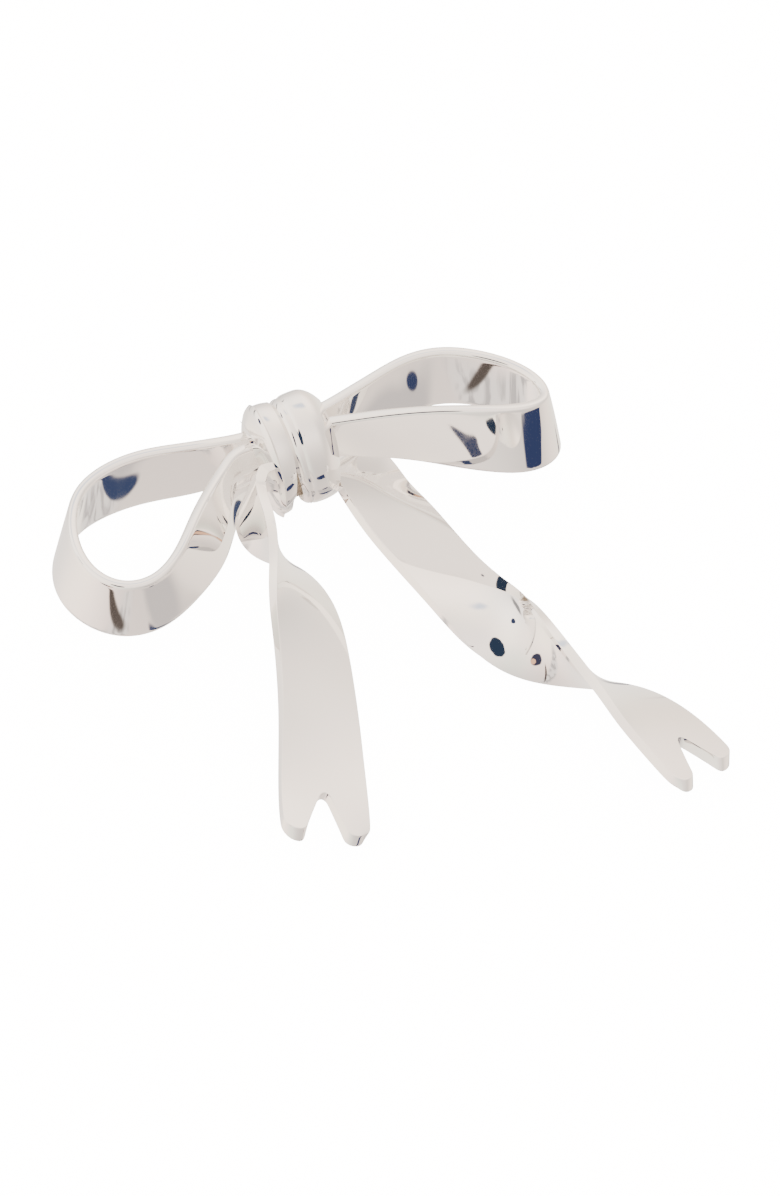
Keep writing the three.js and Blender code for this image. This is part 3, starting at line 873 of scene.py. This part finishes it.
# Soft panels of the light tent: bearing from the front, elevation, colour.
PANELS = (
    (0, 75, (2.15, 1.85, 1.75)),
    (120, 75, (3.34, 2.87, 2.32)),
    (-120, 75, (3.29, 2.82, 2.46)),
    (20, 40, (3.30, 2.85, 2.50)),
    (71, 40, (1.55, 1.38, 1.28)),
    (123, 40, (4.65, 3.87, 3.29)),
    (174, 40, (3.20, 2.90, 2.65)),
    (-134, 40, (4.00, 3.60, 3.20)),
    (-83, 40, (3.71, 3.22, 2.71)),
    (-31, 40, (2.90, 2.50, 2.25)),
    (0, 5, (1.20, 1.05, 0.96)),
    (45, 5, (1.45, 1.28, 1.12)),
    (90, 5, (1.49, 1.35, 1.22)),
    (135, 5, (2.27, 1.80, 1.46)),
    (-180, 5, (1.50, 1.38, 1.28)),
    (-135, 5, (2.30, 2.10, 1.95)),
    (-90, 5, (3.04, 2.56, 2.25)),
    (-45, 5, (2.22, 2.22, 1.87)),
    (22, -28, (1.15, 1.00, 0.92)),
    (67, -28, (3.21, 2.58, 2.18)),
    (112, -28, (3.01, 2.77, 2.32)),
    (157, -28, (2.30, 2.10, 1.95)),
    (-158, -28, (1.90, 1.75, 1.65)),
    (-113, -28, (4.07, 3.44, 2.71)),
    (-68, -28, (3.03, 2.44, 2.16)),
    (-23, -28, (1.70, 1.55, 1.42)),
    (10, -58, (1.82, 1.52, 1.33)),
    (70, -58, (1.27, 1.12, 0.97)),
    (130, -58, (3.13, 2.77, 2.40)),
    (-170, -58, (2.00, 1.85, 1.70)),
    (-110, -58, (3.50, 2.77, 2.45)),
    (-50, -58, (1.43, 1.09, 0.98)),
    (0, -85, (2.20, 1.95, 1.75)),
)
# Hard-edged parts of the tent: bearing, elevation, half width, half height, turn in degrees,
# softness, colour.
OPENINGS = (
    (33, -51, 27, 6.5, 0, 0.5, (1.05, 0.93, 0.87)),
    (-52, -49, 17, 1.9, -23, 0.4, (0.14, 0.11, 0.095)),
    (22, -23, 19, 4.4, 0, 0.12, (0.045, 0.06, 0.15)),
    (21, -46.4, 4.0, 1.5, 0, 0.2, (0.05, 0.065, 0.15)),
    (34, -57.8, 15, 2.1, -3, 0.2, (0.06, 0.08, 0.17)),
    (-45, 42, 11, 19, 15, 0.1, (0.035, 0.055, 0.10)),
    (-66, -26, 13, 10, 20, 0.2, (0.07, 0.07, 0.12)),
    (-60, -22, 6, 5, 20, 0.3, (1.6, 0.9, 0.55)),
    (-2, 53, 1.9, 0.9, 0, 0.2, (0.05, 0.065, 0.15)),
    (-120, 35, 6, 5, 0, 0.2, (0.06, 0.08, 0.16)),
    (150, 62, 14, 8, 0, 0.9, (1.7, 1.75, 1.95)),
    (98, -44, 4, 3, 0, 0.2, (0.08, 0.10, 0.18)),
    (178, -14, 48, 3.0, 4, 0.5, (0.42, 0.40, 0.41)),
    (-150, 22, 24, 4, -12, 0.5, (0.50, 0.47, 0.46)),
    (160, -42, 20, 5, 10, 0.4, (0.62, 0.60, 0.64)),
)
STEADY_BELOW = 3.5  # openings lower than this keep an even rim
CLOTH_AT = ((-66, -57, 40, 8), (68, -63, 30, 7))  # crumpled cloth low in the tent


def bearing(azimuth, elevation):
    """Unit vector at an azimuth from the front, round towards +X, and an elevation, in degrees."""
    a, e = math.radians(azimuth), math.radians(elevation)
    return Vector((math.sin(a) * math.cos(e), -math.cos(a) * math.cos(e), math.sin(e)))


def opening_group():
    """An oval seen in one direction: 1 inside, 0 outside, with a soft rim."""
    tree, inp, out = group(
        "Tent opening",
        [("Vector", "NodeSocketVector", None), ("Toward", "NodeSocketVector", None),
         ("Sideways", "NodeSocketVector", None), ("Upward", "NodeSocketVector", None),
         ("Softness", "NodeSocketFloat", 0.2)],
        [("Mask", "NodeSocketFloat")],
    )
    link = tree.links.new
    dots = []
    for label in ("Toward", "Sideways", "Upward"):
        dot = add_node(tree, "ShaderNodeVectorMath", operation="DOT_PRODUCT")
        link(inp.outputs["Vector"], dot.inputs[0])
        link(inp.outputs[label], dot.inputs[1])
        dots.append(dot.outputs["Value"])
    toward, sideways, upward = dots
    far = maths(tree, "SQRT", maths(
        tree, "ADD", maths(tree, "MULTIPLY", sideways, sideways), maths(tree, "MULTIPLY", upward, upward)))
    ramp = add_node(tree, "ShaderNodeMapRange", interpolation_type="SMOOTHSTEP")
    ramp.inputs["From Max"].default_value = 1.0
    ramp.inputs["To Min"].default_value = 1.0
    ramp.inputs["To Max"].default_value = 0.0
    link(maths(tree, "SUBTRACT", 1.0, inp.outputs["Softness"]), ramp.inputs["From Min"])
    link(far, ramp.inputs["Value"])
    ahead = maths(tree, "GREATER_THAN", toward, 0.0)
    link(maths(tree, "MULTIPLY", ramp.outputs["Result"], ahead), out.inputs["Mask"])
    return tree


def glow_group():
    """One soft panel of the tent: how much of it is seen in a direction, and its light."""
    tree, inp, out = group(
        "Panel glow",
        [("Vector", "NodeSocketVector", None), ("Toward", "NodeSocketVector", None),
         ("Colour", "NodeSocketVector", None)],
        [("Share", "NodeSocketFloat"), ("Light", "NodeSocketVector")],
    )
    link = tree.links.new
    dot = add_node(tree, "ShaderNodeVectorMath", operation="DOT_PRODUCT")
    link(inp.outputs["Vector"], dot.inputs[0])
    link(inp.outputs["Toward"], dot.inputs[1])
    away = maths(tree, "SUBTRACT", dot.outputs["Value"], 1.0)
    share = maths(tree, "EXPONENT", maths(tree, "MULTIPLY", away, PANEL_FOCUS))
    light = add_node(tree, "ShaderNodeVectorMath", operation="SCALE")
    link(inp.outputs["Colour"], light.inputs[0])
    link(share, light.inputs["Scale"])
    link(share, out.inputs["Share"])
    link(light.outputs["Vector"], out.inputs["Light"])
    return tree


def soft_panels(tree, vector):
    """All soft panels blended into one another; returns the colour."""
    link = tree.links.new
    glow = glow_group()
    shares = light = None
    for azimuth, elevation, value in PANELS:
        panel = add_node(tree, "ShaderNodeGroup")
        panel.node_tree = glow
        panel.inputs["Toward"].default_value = bearing(azimuth, elevation)
        panel.inputs["Colour"].default_value = value
        link(vector, panel.inputs["Vector"])
        if light is None:
            shares, light = panel.outputs["Share"], panel.outputs["Light"]
            continue
        shares = maths(tree, "ADD", shares, panel.outputs["Share"])
        total = add_node(tree, "ShaderNodeVectorMath", operation="ADD")
        link(light, total.inputs[0])
        link(panel.outputs["Light"], total.inputs[1])
        light = total.outputs["Vector"]
    blend = add_node(tree, "ShaderNodeVectorMath", operation="SCALE")
    link(light, blend.inputs[0])
    link(maths(tree, "DIVIDE", 1.0, shares), blend.inputs["Scale"])
    return blend.outputs["Vector"]


def light_tent(world):
    """A white tent round the brooch: soft panels, crumpled cloth and a few dark openings."""
    world.use_nodes = True
    tree = world.node_tree
    link = tree.links.new
    vector = add_node(tree, "ShaderNodeTexCoord").outputs["Generated"]
    opening = opening_group()

    def seen(azimuth, elevation, wide, high, turn, softness, toward_vector):
        node = add_node(tree, "ShaderNodeGroup")
        node.node_tree = opening
        sideways = bearing(azimuth + 90, 0)
        upward = bearing(azimuth, elevation + 90)
        c, s = math.cos(math.radians(turn)), math.sin(math.radians(turn))
        node.inputs["Toward"].default_value = bearing(azimuth, elevation)
        across = math.sin(math.radians(wide))
        along = math.sin(math.radians(high))
        node.inputs["Sideways"].default_value = (sideways * c + upward * s) / across
        node.inputs["Upward"].default_value = (upward * c - sideways * s) / along
        node.inputs["Softness"].default_value = softness
        link(toward_vector, node.inputs["Vector"])
        return node.outputs["Mask"]

    def painted(under, mask, value):
        mix = add_node(tree, "ShaderNodeMix", data_type="RGBA")
        link(under, mix.inputs["A"])
        mix.inputs["B"].default_value = (*value, 1.0)
        link(mask, mix.inputs["Factor"])
        return mix.outputs["Result"]

    # the openings' rims waver a little, as draped edges do
    waver = add_node(tree, "ShaderNodeTexNoise", inputs={"Scale": 7.0, "Detail": 1.0})
    link(vector, waver.inputs["Vector"])
    centred = add_node(tree, "ShaderNodeVectorMath", operation="SUBTRACT")
    link(waver.outputs["Color"], centred.inputs[0])
    centred.inputs[1].default_value = (0.5, 0.5, 0.5)
    shift = add_node(tree, "ShaderNodeVectorMath", operation="MULTIPLY_ADD")
    link(centred.outputs["Vector"], shift.inputs[0])
    shift.inputs[1].default_value = (0.05, 0.05, 0.05)
    link(vector, shift.inputs[2])
    wavering = shift.outputs["Vector"]

    colour = soft_panels(tree, vector)
    folds = add_node(
        tree, "ShaderNodeTexNoise", inputs={"Scale": 5.5, "Detail": 3.0, "Distortion": 1.6},
    )
    link(vector, folds.inputs["Vector"])
    crease = add_node(tree, "ShaderNodeMapRange", interpolation_type="SMOOTHSTEP")
    crease.inputs["From Min"].default_value = 0.44
    crease.inputs["From Max"].default_value = 0.60
    link(folds.outputs["Fac"], crease.inputs["Value"])
    for azimuth, elevation, wide, high in CLOTH_AT:
        cloth = seen(azimuth, elevation, wide, high, 0, 0.5, vector)
        colour = painted(colour, maths(tree, "MULTIPLY", cloth, 0.8), (1.75, 1.60, 1.50))
        colour = painted(colour, maths(tree, "MULTIPLY", cloth, crease.outputs["Result"]), (0.98, 0.88, 0.83))
    for azimuth, elevation, wide, high, turn, softness, value in OPENINGS:
        rim = wavering if high > STEADY_BELOW else vector
        colour = painted(colour, seen(azimuth, elevation, wide, high, turn, softness, rim), value)
    link(colour, tree.nodes["Background"].inputs["Color"])


def pale_floor():
    """A plain floor that the camera sees as evenly lit paper; the polished metal sees the tent."""
    bpy.ops.object.select_all(action="DESELECT")
    bpy.ops.mesh.primitive_plane_add(size=3.0, location=(0, 0, 0))
    floor = bpy.context.active_object
    floor.name = "floor"
    paper = bpy.data.materials.new("Pale floor")
    paper.use_nodes = True
    tree = paper.node_tree
    shader = tree.nodes["Principled BSDF"]
    shader.inputs["Base Color"].default_value = (*settings().floor, 1.0)
    shader.inputs["Roughness"].default_value = 0.95
    shader.inputs["Emission Color"].default_value = (1.0, 1.0, 1.0, 1.0)
    shader.inputs["Emission Strength"].default_value = 14.0
    floor.data.materials.append(paper)
    floor.visible_glossy = False
    floor.visible_diffuse = False


def add_camera():
    """A long lens, 55 degrees up and 25 degrees round to the left of the front."""
    azimuth = -25
    back = bearing(azimuth, 55)
    right = bearing(azimuth + 90, 0)
    up = back.cross(right)
    target = Vector((KNOT_AT[0] + 4.34, KNOT_AT[1] - 16.99, 1.7)) * MM
    data = bpy.data.cameras.new("Camera")
    data.lens = 216
    data.sensor_width = 36
    data.sensor_fit = "HORIZONTAL"
    data.clip_start = 0.01
    camera = bpy.data.objects.new("Camera", data)
    bpy.context.scene.collection.objects.link(camera)
    place = target + back * 0.52
    camera.matrix_world = Matrix((
        (right.x, up.x, back.x, place.x),
        (right.y, up.y, back.y, place.y),
        (right.z, up.z, back.z, place.z),
        (0, 0, 0, 1),
    ))
    bpy.context.scene.camera = camera


class BROOCH_OT_stage(bpy.types.Operator):
    """Set the floor, the light tent and the camera"""

    bl_idname = "brooch.stage"
    bl_label = "Stage"

    def execute(self, context):
        pale_floor()
        world = bpy.data.worlds.new("Studio")
        context.scene.world = world
        light_tent(world)
        add_camera()
        return {"FINISHED"}


class BROOCH_PT_panel(bpy.types.Panel):
    bl_label = "Ribbon-bow brooch"
    bl_idname = "BROOCH_PT_panel"
    bl_space_type = "VIEW_3D"
    bl_region_type = "UI"
    bl_category = "Brooch"

    def draw(self, context):
        for operator in OPERATORS:
            self.layout.operator(operator.bl_idname)


OPERATORS = (BROOCH_OT_ribbons, BROOCH_OT_knot, BROOCH_OT_fittings, BROOCH_OT_stage)
CLASSES = (BroochSettings, *OPERATORS, BROOCH_PT_panel)


def register():
    for cls in CLASSES:
        bpy.utils.register_class(cls)
    bpy.types.Scene.brooch = bpy.props.PointerProperty(type=BroochSettings)


def unregister():
    del bpy.types.Scene.brooch
    for cls in reversed(CLASSES):
        bpy.utils.unregister_class(cls)


def main():
    register()
    bpy.ops.brooch.ribbons()
    bpy.ops.brooch.knot()
    bpy.ops.brooch.fittings()
    bpy.ops.brooch.stage()


if __name__ == "__main__":
    main()
